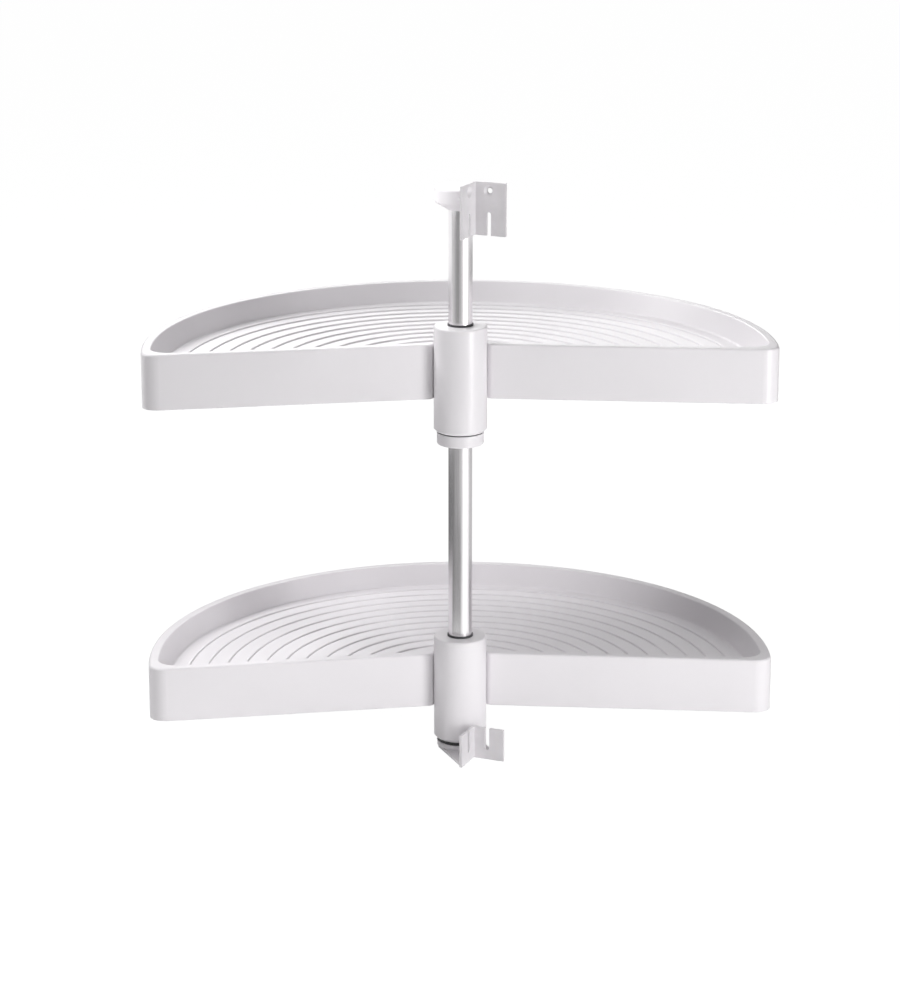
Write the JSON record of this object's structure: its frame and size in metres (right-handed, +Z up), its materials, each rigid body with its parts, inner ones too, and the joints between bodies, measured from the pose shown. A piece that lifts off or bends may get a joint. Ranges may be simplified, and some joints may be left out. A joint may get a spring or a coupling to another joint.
{
  "type": "half-moon swivel basket",
  "caption": "Half-moon trays for a corner cabinet, each turning on a hub round one upright metal post that bent brackets fix at its top and foot.",
  "frame": {"origin": "on the post's axis, at the underside of the lower bracket's plate", "axes": "+Z up along the post; +X to the right along the trays' straight fronts; -Y to the front, where the straight fronts and the brackets face"},
  "size_m": [0.7108, 0.4279, 0.6661],
  "materials": {
    "white_plastic": "satin",
    "post_metal": "satin chrome",
    "bracket_steel": "light grey, satin",
    "grey_steel": "zinc plated",
    "dark_steel": "black oxide",
    "black_plastic": "moulded",
    "dark_plastic": "moulded"
  },
  "bodies": {
    "stand": {"lower_bracket": "bracket_steel", "base_ring": "white_plastic", "base_washer": "black_plastic", "post": "post_metal", "post_foot_plug": "grey_steel", "post_foot_pin": "grey_steel", "rod_guide": "black_plastic", "rod_clamp_screw": "dark_steel"},
    "top_mounting": {"upper_bracket": "bracket_steel", "head": "white_plastic", "head_cap": "white_plastic", "rod": "post_metal", "rod_nut": "grey_steel"},
    "collar": {"support_collar": "white_plastic", "collar_set_screw": "dark_steel", "ring_washer": "dark_plastic"},
    "lower_shelf": {"lower_tray": "white_plastic", "lower_hub": "white_plastic", "lower_hub_top_bush": "dark_plastic", "lower_hub_foot_bush": "dark_plastic", "lower_hub_screws": "grey_steel"},
    "upper_shelf": {"upper_tray": "white_plastic", "upper_hub": "white_plastic", "upper_hub_top_bush": "dark_plastic", "upper_hub_foot_bush": "dark_plastic", "upper_hub_screws": "grey_steel"}
  },
  "joints": [
    {"name": "top_telescope", "type": "slide", "parent": "stand", "child": "top_mounting", "axis": [0, 0, 1], "range_m": [0, 0.075]},
    {"name": "collar_height", "type": "slide", "parent": "stand", "child": "collar", "axis": [0, 0, 1], "range_m": [-0.22, 0.11]},
    {"name": "upper_shelf_turn", "type": "hinge", "parent": "collar", "child": "upper_shelf", "pos_m": [0, 0, 0.4365], "axis": [0, 0, 1], "continuous": true},
    {"name": "lower_shelf_turn", "type": "hinge", "parent": "stand", "child": "lower_shelf", "pos_m": [0, 0, 0.0731], "axis": [0, 0, 1], "continuous": true}
  ]
}
